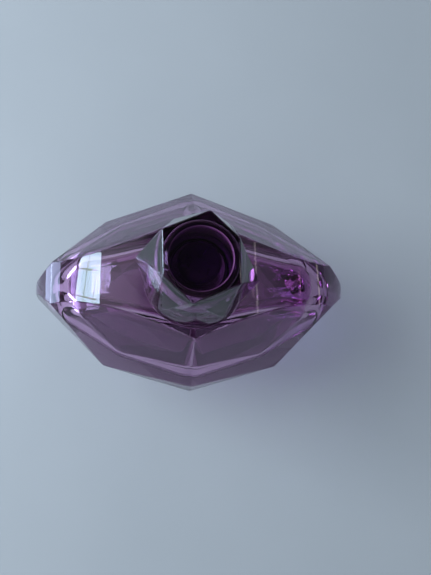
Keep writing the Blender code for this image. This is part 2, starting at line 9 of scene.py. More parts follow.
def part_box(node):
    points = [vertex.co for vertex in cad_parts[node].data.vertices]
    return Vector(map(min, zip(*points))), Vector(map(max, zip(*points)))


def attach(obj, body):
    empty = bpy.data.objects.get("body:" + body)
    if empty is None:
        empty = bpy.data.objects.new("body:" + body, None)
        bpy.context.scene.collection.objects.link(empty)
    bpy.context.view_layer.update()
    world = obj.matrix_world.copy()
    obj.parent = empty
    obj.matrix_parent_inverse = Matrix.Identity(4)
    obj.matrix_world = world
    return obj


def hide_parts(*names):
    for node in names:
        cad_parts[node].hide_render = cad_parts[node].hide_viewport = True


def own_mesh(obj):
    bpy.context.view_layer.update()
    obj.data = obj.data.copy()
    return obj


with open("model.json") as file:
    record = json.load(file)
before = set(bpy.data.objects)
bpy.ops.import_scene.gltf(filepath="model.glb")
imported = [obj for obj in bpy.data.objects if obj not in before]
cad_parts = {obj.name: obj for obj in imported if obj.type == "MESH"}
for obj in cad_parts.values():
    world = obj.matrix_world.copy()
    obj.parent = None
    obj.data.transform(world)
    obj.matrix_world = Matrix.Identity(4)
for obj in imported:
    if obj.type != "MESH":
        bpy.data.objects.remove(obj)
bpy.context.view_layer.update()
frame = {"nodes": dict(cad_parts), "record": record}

mm = 0.001
nodes = frame["nodes"]
bodies = {node: body for body, held in frame["record"]["behaviour"]["bodies"].items() for node in held}


def linear(hexColour):
    values = [int(hexColour[i:i + 2], 16) / 255 for i in (1, 3, 5)]
    return [v / 12.92 if v <= 0.04045 else ((v + 0.055) / 1.055) ** 2.4 for v in values]


def rgba(hexColour):
    return (*linear(hexColour), 1)


# adds a node with its settings and links; a key is an input's name, or its number, as i0, for shared names
def addNode(tree, kind, settings=None, **inputs):
    made = tree.nodes.new(kind)
    for name, value in (settings or {}).items():
        setattr(made, name, value)
    for name, value in inputs.items():
        key = int(name[1:]) if name[0] == "i" and name[1:].isdigit() else name.replace("_", " ")
        if isinstance(value, bpy.types.NodeSocket):
            tree.links.new(value, made.inputs[key])
        else:
            made.inputs[key].default_value = value
    return made


def newMaterial(name, **sockets):
    made = bpy.data.materials.new(name)
    made.use_nodes = True
    tree = made.node_tree
    shader = tree.nodes["Principled BSDF"]
    for key, value in sockets.items():
        shader.inputs[key.replace("_", " ")].default_value = value
    place = addNode(tree, "ShaderNodeTexCoord").outputs["Object"]
    return made, tree, shader, place


# colour lost in the depth of a clear material: the share of each channel left after one thickness
def tintDepth(made, left, thickness):
    tree = made.node_tree
    loss = [-math.log(share) / thickness for share in left]
    density = max(loss) * 1.02
    absorb = addNode(tree, "ShaderNodeVolumeAbsorption", Density=density,
                     Color=(*[1 - value / density for value in loss], 1))
    tree.links.new(absorb.outputs["Volume"], tree.nodes["Material Output"].inputs["Volume"])


# lets lamps through a clear piece unbent and tinted, so that what is behind and under it isn't in full shade
def passLamps(made, tint):
    tree = made.node_tree
    toLamp = addNode(tree, "ShaderNodeLightPath").outputs["Is Shadow Ray"]
    through = addNode(tree, "ShaderNodeBsdfTransparent", Color=rgba(tint))
    body = tree.nodes["Principled BSDF"].outputs[0]
    mixed = addNode(tree, "ShaderNodeMixShader", i0=toLamp, i1=body, i2=through.outputs[0])
    tree.links.new(mixed.outputs[0], tree.nodes["Material Output"].inputs["Surface"])


def newObject(name, mesh):
    made = bpy.data.objects.new(name, mesh)
    bpy.context.scene.collection.objects.link(made)
    return made


# a new object from a bmesh, which is done with
def objectFrom(name, bm):
    mesh = bpy.data.meshes.new(name)
    bm.to_mesh(mesh)
    bm.free()
    return newObject(name, mesh)


def applied(piece):
    graph = bpy.context.evaluated_depsgraph_get()
    mesh = bpy.data.meshes.new_from_object(piece.evaluated_get(graph))
    piece.modifiers.clear()
    piece.data = mesh
    return piece


# edges up to an angle shade smooth; those within a box from low to high may take another angle
def smoothUnder(piece, degrees, inner=None, low=None, high=None):
    bm = bmesh.new()
    bm.from_mesh(piece.data)
    for face in bm.faces:
        face.smooth = True
    for edge in bm.edges:
        within = inner and all(low[i] < v.co[i] < high[i] for v in edge.verts for i in range(3))
        edge.smooth = edge.calc_face_angle(0.0) < math.radians(inner if within else degrees)
    bm.to_mesh(piece.data)
    bm.free()


# a finished piece takes its material, stands for its CAD node, and rides on that node's body
def fit(piece, node, made):
    piece.data.materials.clear()
    piece.data.materials.append(made)
    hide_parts(node)
    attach(piece, bodies[node])


# merges what lies on one spot and turns the faces of one closed shell outwards
def faceOutwards(mesh):
    bm = bmesh.new()
    bm.from_mesh(mesh)
    bmesh.ops.remove_doubles(bm, verts=bm.verts, dist=1e-7)
    bmesh.ops.recalc_face_normals(bm, faces=bm.faces)
    bm.to_mesh(mesh)
    bm.free()


# an (r, z) outline turned about the upright axis; one that starts off the axis is closed into a ring
def turned(name, profile, steps):
    closed = profile[0][0] > 0
    count = len(profile)
    mesh = bpy.data.meshes.new(name)
    edges = [(i, i + 1) for i in range(count - 1)] + ([(count - 1, 0)] if closed else [])
    mesh.from_pydata([(r, 0, z) for r, z in profile], edges, [])
    made = newObject(name, mesh)
    screw = made.modifiers.new("turn", "SCREW")
    screw.steps = screw.render_steps = steps
    screw.use_merge_vertices = True
    screw.merge_threshold = 1e-6
    applied(made)
    faceOutwards(made.data)
    return made


# rounds the corners of an (r, z) outline, apart from those too slight to need it
def softened(profile, radius, steps=3, closed=True):
    slight = math.radians(12)
    most = 0.45         # share of a side that one corner may use up
    points = [Vector(p) for p in profile]
    count = len(points)
    out = []
    for i, corner in enumerate(points):
        if not closed and i in (0, count - 1):
            out.append(tuple(corner))
            continue
        before, after = points[i - 1] - corner, points[(i + 1) % count] - corner
        if min(before.length, after.length) < 1e-7:
            continue
        turn = math.pi - before.angle(after)
        if turn < slight:
            out.append(tuple(corner))
            continue
        reach = min(radius * math.tan(turn / 2), most * before.length, most * after.length)
        start, end = corner + before.normalized() * reach, corner + after.normalized() * reach
        for k in range(steps + 1):
            t = k / steps
            out.append(tuple(start * (1 - t) ** 2 + corner * 2 * t * (1 - t) + end * t * t))
    return out


# half outline of a round CAD node, read from its own mesh at y = 0
def cadSection(node):
    bm = bmesh.new()
    bm.from_mesh(nodes[node].data)
    bmesh.ops.remove_doubles(bm, verts=bm.verts, dist=1e-6)
    onCut = [v for v in bm.verts if abs(v.co.y) < 1e-6 and v.co.x > -1e-7]
    onCut.sort(key=lambda v: (v.co.z, v.co.x))        # so that each run goes the same way round
    links = {v: [w for w in onCut if w is not v and any(w in e.verts for e in v.link_edges)] for v in onCut}
    ends = [v for v in onCut if v.co.x < 1e-6]
    start = (ends or onCut)[-1]
    path, last = [start], None
    while True:
        step = [v for v in links[path[-1]] if v is not last and v not in path[1:]]
        step = [v for v in step if not (v is start and len(path) < 3)]
        if not step or step[0] is start:
            break
        last = path[-1]
        path.append(step[0])
    points = [(max(0.0, v.co.x), v.co.z) for v in path]
    bm.free()
    return points


# takes another form away from a piece, or joins it on, and lets that form go
def cut(piece, other, operation="DIFFERENCE"):
    made = piece.modifiers.new(other.name, "BOOLEAN")
    made.operation = operation
    made.solver = "EXACT"
    made.object = other
    applied(piece)
    bpy.data.objects.remove(other)


# cuts off what lies past a plane and closes the cut
def sliceOff(bm, point, normal):
    everything = bm.verts[:] + bm.edges[:] + bm.faces[:]
    sliced = bmesh.ops.bisect_plane(bm, geom=everything, plane_co=point, plane_no=normal, clear_outer=True)
    rim = [e for e in sliced["geom_cut"] if isinstance(e, bmesh.types.BMEdge)]
    bmesh.ops.contextual_create(bm, geom=rim)


# a skin stretched over points
def stretched(points):
    bm = bmesh.new()
    for point in points:
        bm.verts.new(point)
    bmesh.ops.convex_hull(bm, input=bm.verts)
    bmesh.ops.delete(bm, geom=[v for v in bm.verts if not v.link_faces], context="VERTS")
    return bm


# makes one face of those that lie in one plane
def joinFlats(bm):
    bmesh.ops.dissolve_limit(bm, angle_limit=math.radians(0.3), verts=bm.verts, edges=bm.edges)


def bevelled(bm, edges, width, segments):
    bmesh.ops.bevel(bm, geom=edges, offset=width, segments=segments, profile=0.5, affect="EDGES",
                    clamp_overlap=True)


past = 1 * mm       # how far a cutting form stands out past what it cuts

bottle = {
    "halfWidth": 45.5 * mm, "tipHeight": 26 * mm, "archRise": 25.5 * mm, "slabDepth": 64 * mm,
    "girdle": 22.4 * mm, "girdleInset": 0.2 * mm, "baseHalfWidth": 29 * mm,
    "ridge": Vector((0, -28.8, 31.7)) * mm, "frontGirdle": Vector((0, -29.385, 22.4)) * mm,
    "sideGirdle": Vector((25.6, -21.9, 22.4)) * mm, "endGirdle": Vector((42.4, -5.0, 22.4)) * mm,
    "crownY": -17.5 * mm, "bandEndX": 40.3 * mm, "baseY": -16 * mm, "baseCornerX": 21.5 * mm,
    "bandBevel": 1.0 * mm, "facetBevel": 0.45 * mm, "archSteps": 220,
    "padRadius": 14.5 * mm, "padHeight": 0.4 * mm, "padFoot": 3 * mm, "neckRadius": 6.4 * mm,
    "beadRadius": 7.4 * mm, "beadHeight": 3.0 * mm, "beadDrop": 0.5 * mm, "beadSlope": 0.4 * mm,
    "neckRounding": 0.5 * mm, "boreRadius": 4.4 * mm, "boreFlare": 1.3 * mm, "flareDepth": 0.3 * mm,
}
cavity = {
    "halfWidth": 36.5 * mm, "halfDepth": 20.5 * mm, "top": 45.6 * mm, "floor": 8 * mm, "roll": 6 * mm,
    "boreOverlap": 3 * mm, "fillLevel": 26 * mm, "archSteps": 60, "arcStep": 7.5,
}
topHeight = bottle["tipHeight"] + bottle["archRise"]


# the arch is half an ellipse that stands on the pointed ends
def archHeight(x):
    return bottle["tipHeight"] + bottle["archRise"] * math.sqrt(max(0, 1 - (x / bottle["halfWidth"]) ** 2))


# one flat facet, ground through three points
def grind(bm, a, b, c):
    normal = (b - a).cross(c - a).normalized()
    if normal.dot(a - Vector((0, 0, bottle["tipHeight"] / 2))) < 0:
        normal.negate()
    sliceOff(bm, a, normal)


# the point at x and z of the plane through three points
def onPlane(a, b, c, x, z):
    n = (b - a).cross(c - a)
    return Vector((x, a.y - (n.x * (x - a.x) + n.z * (z - a.z)) / n.y, z))


# an arched slab with pointed ends, then five facets on each quarter; its edges are still sharp
def groundSlab(steps):
    b = bottle
    half, foot = b["halfWidth"], b["baseHalfWidth"]
    waist = half - b["girdleInset"]
    turn = [math.pi * (i / steps - 0.5) for i in range(steps + 1)]
    outline = [(half * math.sin(t), b["tipHeight"] + b["archRise"] * math.cos(t)) for t in turn]
    outline += [(waist, b["girdle"]), (foot, 0), (-foot, 0), (-waist, b["girdle"])]
    bm = bmesh.new()
    halfDepth = b["slabDepth"] / 2
    near, far = [[bm.verts.new((x, y, z)) for x, z in outline] for y in (-halfDepth, halfDepth)]
    bm.faces.new(near)
    bm.faces.new(far)
    for i in range(len(outline)):
        bm.faces.new((near[i - 1], near[i], far[i], far[i - 1]))
    bmesh.ops.recalc_face_normals(bm, faces=bm.faces)
    ridge, front, side, end = b["ridge"], b["frontGirdle"], b["sideGirdle"], b["endGirdle"]
    crown = Vector((0, b["crownY"], topHeight))
    bandEnd = onPlane(ridge, side, crown, b["bandEndX"], archHeight(b["bandEndX"]))
    baseFront = Vector((0, b["baseY"], 0))
    baseCorner = onPlane(front, side, baseFront, b["baseCornerX"], 0)
    facets = [(ridge, side, crown), (side, end, bandEnd), (ridge, side, front),
              (front, side, baseFront), (side, end, baseCorner)]
    for facet in facets:
        for across in (1, -1):
            for along in (1, -1):
                grind(bm, *[Vector((p.x * across, p.y * along, p.z)) for p in facet])
    bmesh.ops.remove_doubles(bm, verts=bm.verts, dist=0.02 * mm)
    joinFlats(bm)
    return bm


# the body with its edges eased: wide along the arched band, narrow between facets
def glassBlank():
    b = bottle
    bm = groundSlab(b["archSteps"])

    # how many of an edge's faces belong to the arched band, the ends or the base, which run straight back
    def straightBack(edge):
        return sum(abs(face.normal.y) < 0.01 for face in edge.link_faces)

    band = [e for e in bm.edges if straightBack(e) == 1
            and min(v.co.z for v in e.verts) > b["girdle"] - 1 * mm]
    bevelled(bm, band, b["bandBevel"], 3)
    sharp = [e for e in bm.edges if e.is_manifold and e.calc_face_angle(0) > math.radians(7.5)
             and straightBack(e) < 2 and e.calc_length() > 3 * mm]
    bevelled(bm, sharp, b["facetBevel"], 2)
    bmesh.ops.recalc_face_normals(bm, faces=bm.faces)
    return objectFrom("glassBody", bm)


# the hollow: a smaller body of the same facets with a ball rolled round it, cut level if a height is given
def hollow(name, grow, level=None):
    c = cavity
    roll = c["roll"]
    scale = Vector(((c["halfWidth"] - roll) / bottle["halfWidth"],
                    (c["halfDepth"] - roll) / -bottle["ridge"].y,
                    (c["top"] - c["floor"] - 2 * roll) / topHeight))
    bm = groundSlab(c["archSteps"])
    for vertex in bm.verts:
        vertex.co = vertex.co * scale + Vector((0, 0, c["floor"] + roll))
    bm.normal_update()
    reach = roll + grow
    points = []
    for edge in bm.edges:               # the ball rolls along each edge
        first, last = [face.normal for face in edge.link_faces]
        steps = math.ceil(first.angle(last) / math.radians(c["arcStep"]))
        for i in range(steps + 1):
            out = first.slerp(last, i / steps) if i else first
            points += [vertex.co + out * reach for vertex in edge.verts]
    corners = [vertex.co.copy() for vertex in bm.verts]
    bm.free()
    rings = round(180 / c["arcStep"])
    for i in range(1, rings):           # and rounds each corner
        tilt = math.pi * i / rings
        for j in range(2 * rings):
            turn = math.pi * j / rings
            out = Vector((math.sin(tilt) * math.cos(turn), math.sin(tilt) * math.sin(turn), math.cos(tilt)))
            points.append(max(corners, key=out.dot) + out * reach)
    bm = stretched(points)
    if level:
        sliceOff(bm, (0, 0, level), (0, 0, 1))
    joinFlats(bm)
    bmesh.ops.recalc_face_normals(bm, faces=bm.faces)
    return objectFrom(name, bm)


def makeGlass():
    b = bottle
    pad = topHeight + b["padHeight"]
    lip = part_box("bottle_glass")[1].z
    bead, neck = b["beadRadius"], b["neckRadius"]
    beadFoot = lip - b["beadDrop"] - b["beadHeight"]
    padFoot, boreFoot = topHeight - b["padFoot"], cavity["top"] - cavity["boreOverlap"]
    body = glassBlank()
    outline = [(0, lip), (bead, lip), (bead, beadFoot), (neck, beadFoot - b["beadSlope"]), (neck, pad),
               (b["padRadius"], pad), (b["padRadius"], padFoot), (0, padFoot)]
    cut(body, turned("neckForm", softened(outline, b["neckRounding"], 4, closed=False), 128), "UNION")
    cut(body, hollow("hollowForm", 0))
    bore = [(0, lip + past), (b["boreRadius"] + b["boreFlare"], lip + past),
            (b["boreRadius"], lip - b["flareDepth"]), (b["boreRadius"], boreFoot), (0, boreFoot)]
    cut(body, turned("boreForm", bore, 96))
    reach = Vector((cavity["halfWidth"] + 1 * mm, cavity["halfDepth"] + 0.5 * mm, 0))
    low = Vector((0, 0, cavity["floor"] - 1 * mm)) - reach
    high = Vector((0, 0, cavity["top"] + 1 * mm)) + reach
    smoothUnder(body, 4, 12, low, high)      # flats stay crisp outside, and the rolled hollow shades smooth
    fit(body, "bottle_glass", mauveGlass())
    print("glass body", len(body.data.polygons))


# soda-lime glass coloured in the melt, pressed and then flame-polished: clean flats with a slow waviness
# that bends reflections a little, and a few faint smudges that soften them
def mauveGlass():
    made, tree, shader, place = newMaterial("sodaLimeGlassMauve", IOR=1.52, Transmission_Weight=1.0)
    smudge = addNode(tree, "ShaderNodeTexNoise", Vector=place, Scale=1 / (9 * mm), Detail=3.0)
    film = addNode(tree, "ShaderNodeMapRange", Value=smudge.outputs[0], i1=0.5, i2=0.8, i3=0.0, i4=0.018)
    tree.links.new(film.outputs[0], shader.inputs["Roughness"])
    shade = addNode(tree, "ShaderNodeValToRGB", Fac=smudge.outputs[0])
    shade.color_ramp.elements[0].color = rgba("#d5b1d3")
    shade.color_ramp.elements[1].color = rgba("#debbdc")
    tree.links.new(shade.outputs[0], shader.inputs["Base Color"])
    wave = addNode(tree, "ShaderNodeTexNoise", Vector=place, Scale=1 / (14 * mm), Detail=1.0)
    bump = addNode(tree, "ShaderNodeBump", Height=wave.outputs[0], Strength=1.0, Distance=0.012 * mm)
    tree.links.new(bump.outputs[0], shader.inputs["Normal"])
    tintDepth(made, (0.89, 0.77, 0.87), 20 * mm)
    passLamps(made, "#eef3ee")
    return made


perfume = {"intoWall": 0.05 * mm, "tubeRoom": 0.97 * mm, "underTube": 0.02 * mm}


# the liquid wets the wall, so its skin lies just inside the glass; it leaves room for the dip tube
def makePerfume():
    liquid = hollow("perfume", perfume["intoWall"], cavity["fillLevel"])
    low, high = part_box("dip_tube")[0].z - perfume["underTube"], cavity["fillLevel"] + past
    room = perfume["tubeRoom"]
    cut(liquid, turned("roomForm", [(0, high), (room, high), (room, low), (0, low)], 48))
    smoothUnder(liquid, 12)
    fit(liquid, "perfume_fill", perfumeLiquid())
    print("perfume", len(liquid.data.polygons))


# scented alcohol and water: clear, and a shade deeper towards the floor of the bottle
def perfumeLiquid():
    made, tree, shader, place = newMaterial("perfumeAlcohol", IOR=1.36, Roughness=0.0,
                                            Transmission_Weight=1.0)
    height = addNode(tree, "ShaderNodeSeparateXYZ", Vector=place)
    depth = addNode(tree, "ShaderNodeMapRange", Value=height.outputs["Z"], i1=cavity["floor"],
                    i2=cavity["fillLevel"])
    shade = addNode(tree, "ShaderNodeValToRGB", Fac=depth.outputs[0])
    shade.color_ramp.elements[0].color = rgba("#f6e8f6")
    shade.color_ramp.elements[1].color = rgba("#fffaff")
    tree.links.new(shade.outputs[0], shader.inputs["Base Color"])
    tintDepth(made, (0.90, 0.84, 0.90), 20 * mm)
    passLamps(made, "#fdfbfd")
    return made


# round parts of the pump and the neck: each takes its outline from its CAD node, with its corners softened
turnedParts = {"steps": 96, "corner": 0.12 * mm}


# polyolefins and acetal as moulded: slightly milky, satin, with a soft mottling from the flow of the melt
def mouldedPlastic(name, pale, deep, roughness, clarity):
    made, tree, shader, place = newMaterial(name, IOR=1.50, Transmission_Weight=clarity)
    flow = addNode(tree, "ShaderNodeTexNoise", Vector=place, Scale=1 / (2.5 * mm), Detail=4.0, Distortion=0.6)
    shade = addNode(tree, "ShaderNodeValToRGB", Fac=flow.outputs[0])
    shade.color_ramp.elements[0].color = rgba(deep)
    shade.color_ramp.elements[1].color = rgba(pale)
    tree.links.new(shade.outputs[0], shader.inputs["Base Color"])
    satin = addNode(tree, "ShaderNodeMapRange", Value=flow.outputs[0], i3=roughness - 0.06,
                    i4=roughness + 0.08)
    tree.links.new(satin.outputs[0], shader.inputs["Roughness"])
    grain = addNode(tree, "ShaderNodeTexNoise", Vector=place, Scale=1 / (0.25 * mm), Detail=2.0)
    bump = addNode(tree, "ShaderNodeBump", Height=grain.outputs[0], Strength=0.4, Distance=0.01 * mm)
    tree.links.new(bump.outputs[0], shader.inputs["Normal"])
    return made


# die-cut and moulded seals: dull, with a fine grain and a faint bloom on the skin
def sealRubber(name, pale, deep):
    made, tree, shader, place = newMaterial(name, IOR=1.52)
    bloom = addNode(tree, "ShaderNodeTexNoise", Vector=place, Scale=1 / (1.2 * mm), Detail=5.0)
    shade = addNode(tree, "ShaderNodeValToRGB", Fac=bloom.outputs[0])
    shade.color_ramp.elements[0].color = rgba(deep)
    shade.color_ramp.elements[1].color = rgba(pale)
    tree.links.new(shade.outputs[0], shader.inputs["Base Color"])
    dull = addNode(tree, "ShaderNodeMapRange", Value=bloom.outputs[0], i3=0.52, i4=0.78)
    tree.links.new(dull.outputs[0], shader.inputs["Roughness"])
    cells = addNode(tree, "ShaderNodeTexVoronoi", Vector=place, Scale=1 / (0.15 * mm))
    bump = addNode(tree, "ShaderNodeBump", Height=cells.outputs["Distance"], Strength=0.5, Distance=0.02 * mm)
    tree.links.new(bump.outputs[0], shader.inputs["Normal"])
    return made


# drawn aluminium, bright-dipped and dyed lilac in the anodising bath: fine rings from the draw,
# 0.12 mm apart, pull its highlights out sideways
def anodisedAluminium():
    made, tree, shader, place = newMaterial("anodisedAluminiumLilac", Metallic=1.0, Anisotropic=0.4)
    rings = addNode(tree, "ShaderNodeTexWave", {"wave_type": "BANDS", "bands_direction": "Z"}, Vector=place,
                    Scale=1 / (20 * 0.12 * mm), Distortion=0.4, Detail=2.0)
    cloud = addNode(tree, "ShaderNodeTexNoise", Vector=place, Scale=1 / (3 * mm), Detail=3.0)
    shade = addNode(tree, "ShaderNodeValToRGB", Fac=cloud.outputs[0])
    shade.color_ramp.elements[0].color = rgba("#a893b8")
    shade.color_ramp.elements[1].color = rgba("#c9b8d6")
    tree.links.new(shade.outputs[0], shader.inputs["Base Color"])
    sheen = addNode(tree, "ShaderNodeMapRange", Value=rings.outputs["Fac"], i3=0.20, i4=0.32)
    tree.links.new(sheen.outputs[0], shader.inputs["Roughness"])
    bump = addNode(tree, "ShaderNodeBump", Height=rings.outputs["Fac"], Strength=0.25, Distance=0.004 * mm)
    tree.links.new(bump.outputs[0], shader.inputs["Normal"])
    return made


# moulded collar, vacuum-metallised and lacquered violet: mirror-bright under the coat, with a slight
# orange peel
def metallisedCollar():
    made, tree, shader, place = newMaterial("metallisedPlasticViolet", Metallic=1.0, Coat_Weight=0.6,
                                            Coat_Roughness=0.04)
    peel = addNode(tree, "ShaderNodeTexNoise", Vector=place, Scale=1 / (0.9 * mm), Detail=2.0)
    shade = addNode(tree, "ShaderNodeValToRGB", Fac=peel.outputs[0])
    shade.color_ramp.elements[0].color = rgba("#6f4a8c")
    shade.color_ramp.elements[1].color = rgba("#8a63a6")
    tree.links.new(shade.outputs[0], shader.inputs["Base Color"])
    gloss = addNode(tree, "ShaderNodeMapRange", Value=peel.outputs[0], i3=0.10, i4=0.18)
    tree.links.new(gloss.outputs[0], shader.inputs["Roughness"])
    bump = addNode(tree, "ShaderNodeBump", Height=peel.outputs[0], Strength=0.3, Distance=0.01 * mm)
    tree.links.new(bump.outputs[0], shader.inputs["Normal"])
    return made


def makeTurnedParts():
    finishes = {
        "neck_gasket": sealRubber("foamedPolyethylene", "#e6e6e1", "#cfcfc9"),
        "crimp_ferrule": anodisedAluminium(),
        "collar_ring": metallisedCollar(),
        "pump_housing": mouldedPlastic("naturalPolypropylene", "#eeeeeb", "#d8d9d6", 0.34, 0.35),
        "stem_guide": mouldedPlastic("whiteAcetal", "#efefeb", "#dfdfda", 0.30, 0.0),
        "stem_gasket": sealRubber("nitrileRubber", "#2b2b2c", "#151516"),
        "pump_stem": mouldedPlastic("acetalStem", "#f2f2ee", "#e2e2dd", 0.26, 0.0),
        "pump_piston": mouldedPlastic("softPolyethylene", "#e6ebef", "#cfd6dc", 0.40, 0.15),
    }
    for node, finish in finishes.items():
        section = cadSection(node)
        outline = softened(section, turnedParts["corner"], 3, closed=section[0][0] > 0)
        piece = turned(node + "Turned", outline, turnedParts["steps"])
        smoothUnder(piece, 32)
        fit(piece, node, finish)
    print("turned parts", len(finishes))


# closedShare is the part of the wire's length that lies closed at each end
spring = {"wire": 0.4 * mm, "turns": 6.0, "closedShare": 0.12, "coilSides": 36, "wireSides": 14}


# a tree that winds the spring: a spiral whose ends lie closed, swept by a round wire
def springTree(steel):
    tree = bpy.data.node_groups.new("springCoil", "GeometryNodeTree")
    for name in ("Coil Radius", "Wire", "Turns", "Foot", "Span", "Closed Share"):
        tree.interface.new_socket(name=name, in_out="INPUT", socket_type="NodeSocketFloat")
    tree.interface.new_socket(name="Geometry", in_out="OUTPUT", socket_type="NodeSocketGeometry")
    given = addNode(tree, "NodeGroupInput").outputs
    spiral = addNode(tree, "GeometryNodeCurveSpiral", Resolution=spring["coilSides"],
                     Rotations=given["Turns"], Start_Radius=given["Coil Radius"],
                     End_Radius=given["Coil Radius"], Height=0.0)
    along = addNode(tree, "GeometryNodeSplineParameter").outputs["Factor"]
    openShare = addNode(tree, "ShaderNodeMath", {"operation": "SUBTRACT"}, i0=1.0, i1=given["Closed Share"])
    rise = addNode(tree, "ShaderNodeMapRange", Value=along, i1=given["Closed Share"], i2=openShare.outputs[0])
    lower = addNode(tree, "ShaderNodeMapRange", Value=along, i2=given["Closed Share"], i4=0.5)
    upper = addNode(tree, "ShaderNodeMapRange", Value=along, i1=openShare.outputs[0], i2=1.0, i4=0.5)
    closed = addNode(tree, "ShaderNodeMath", {"operation": "ADD"}, i0=lower.outputs[0], i1=upper.outputs[0])
    # both closed ends together rise by a little more than one wire, so that their turns lie side by side
    lift = addNode(tree, "ShaderNodeMath", {"operation": "MULTIPLY"}, i0=given["Wire"], i1=1.15)
    travel = addNode(tree, "ShaderNodeMath", {"operation": "SUBTRACT"}, i0=given["Span"], i1=lift.outputs[0])
    coils = addNode(tree, "ShaderNodeMath", {"operation": "MULTIPLY_ADD"}, i0=closed.outputs[0],
                    i1=lift.outputs[0], i2=given["Foot"])
    height = addNode(tree, "ShaderNodeMath", {"operation": "MULTIPLY_ADD"}, i0=rise.outputs[0],
                     i1=travel.outputs[0], i2=coils.outputs[0])
    offset = addNode(tree, "ShaderNodeCombineXYZ", Z=height.outputs[0])
    raised = addNode(tree, "GeometryNodeSetPosition", Geometry=spiral.outputs["Curve"],
                     Offset=offset.outputs[0])
    halfWire = addNode(tree, "ShaderNodeMath", {"operation": "MULTIPLY"}, i0=given["Wire"], i1=0.5)
    section = addNode(tree, "GeometryNodeCurvePrimitiveCircle", Resolution=spring["wireSides"],
                      Radius=halfWire.outputs[0])
    swept = addNode(tree, "GeometryNodeCurveToMesh", Curve=raised.outputs[0],
                    Profile_Curve=section.outputs["Curve"], Fill_Caps=True)
    whole = addNode(tree, "GeometryNodeRealizeInstances", Geometry=swept.outputs[0])
    finished = addNode(tree, "GeometryNodeSetMaterial", Geometry=whole.outputs[0], Material=steel)
    addNode(tree, "NodeGroupOutput", Geometry=finished.outputs[0])
    return tree


# stainless wire, cold drawn: bright, with draw marks that run along the coil
def drawnSteel():
    made, tree, shader, place = newMaterial("drawnStainlessWire", Metallic=1.0)
    marks = addNode(tree, "ShaderNodeTexNoise", Vector=place, Scale=1 / (0.35 * mm), Detail=3.0)
    shade = addNode(tree, "ShaderNodeValToRGB", Fac=marks.outputs[0])
    shade.color_ramp.elements[0].color = rgba("#b9bbbf")
    shade.color_ramp.elements[1].color = rgba("#d9dade")
    tree.links.new(shade.outputs[0], shader.inputs["Base Color"])
    bright = addNode(tree, "ShaderNodeMapRange", Value=marks.outputs[0], i3=0.14, i4=0.30)
    tree.links.new(bright.outputs[0], shader.inputs["Roughness"])
    return made


def makeSpring():
    low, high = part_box("return_spring")
    wire = spring["wire"]
    piece = newObject("springWound", bpy.data.meshes.new("springWound"))
    tree = springTree(drawnSteel())
    wound = piece.modifiers.new("coil", "NODES")
    wound.node_group = tree
    sizes = {"Coil Radius": (high.x - low.x - wire) / 2, "Wire": wire, "Turns": spring["turns"],
             "Foot": low.z + wire / 2, "Span": high.z - low.z - wire, "Closed Share": spring["closedShare"]}
    for item in tree.interface.items_tree:
        if item.in_out == "INPUT":
            wound[item.identifier] = sizes[item.name]
    applied(piece)
    smoothUnder(piece, 40)
    fit(piece, "return_spring", piece.data.materials[0])
    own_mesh(piece)
    print("return spring", len(piece.data.polygons))


# bearing ball: ground and lapped, so nearly a mirror with a trace of haze
def groundSteel():
    made, tree, shader, place = newMaterial("lappedStainlessBall", Metallic=1.0)
    haze = addNode(tree, "ShaderNodeTexNoise", Vector=place, Scale=1 / (0.2 * mm), Detail=2.0)
    shade = addNode(tree, "ShaderNodeValToRGB", Fac=haze.outputs[0])
    shade.color_ramp.elements[0].color = rgba("#c4c6ca")
    shade.color_ramp.elements[1].color = rgba("#dcdde0")
    tree.links.new(shade.outputs[0], shader.inputs["Base Color"])
    soft = addNode(tree, "ShaderNodeMapRange", Value=haze.outputs[0], i3=0.06, i4=0.13)
    tree.links.new(soft.outputs[0], shader.inputs["Roughness"])
    return made


# a cube divided and pushed out to a sphere, so that its faces stay even at the poles
def makeBall():
    low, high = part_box("inlet_ball")
    centre, radius = (low + high) / 2, (high.z - low.z) / 2
    bm = bmesh.new()
    bmesh.ops.create_cube(bm, size=1.0)
    bmesh.ops.subdivide_edges(bm, edges=bm.edges, cuts=11, use_grid_fill=True)
    for vertex in bm.verts:
        vertex.co = centre + vertex.co.normalized() * radius
    piece = objectFrom("ballGround", bm)
    smoothUnder(piece, 60)
    fit(piece, "inlet_ball", groundSteel())
    print("inlet ball", len(piece.data.polygons))


dipTube = {"wall": 0.45 * mm, "slant": 0.6}     # slant is how steeply its cut end rises across it


# extruded low-density polyethylene: cloudy clear, with faint lines along its length from the die
def extrudedTube():
    made, tree, shader, place = newMaterial("extrudedPolyethylene", IOR=1.51, Transmission_Weight=0.8)
    along = addNode(tree, "ShaderNodeMapping", Vector=place, Scale=(1, 1, 0.02))
    lines = addNode(tree, "ShaderNodeTexNoise", Vector=along.outputs[0], Scale=1 / (0.3 * mm), Detail=2.0)
    shade = addNode(tree, "ShaderNodeValToRGB", Fac=lines.outputs[0])
    shade.color_ramp.elements[0].color = rgba("#e9ecee")
    shade.color_ramp.elements[1].color = rgba("#ffffff")
    tree.links.new(shade.outputs[0], shader.inputs["Base Color"])
    cloudy = addNode(tree, "ShaderNodeMapRange", Value=lines.outputs[0], i3=0.12, i4=0.26)
    tree.links.new(cloudy.outputs[0], shader.inputs["Roughness"])
    return made


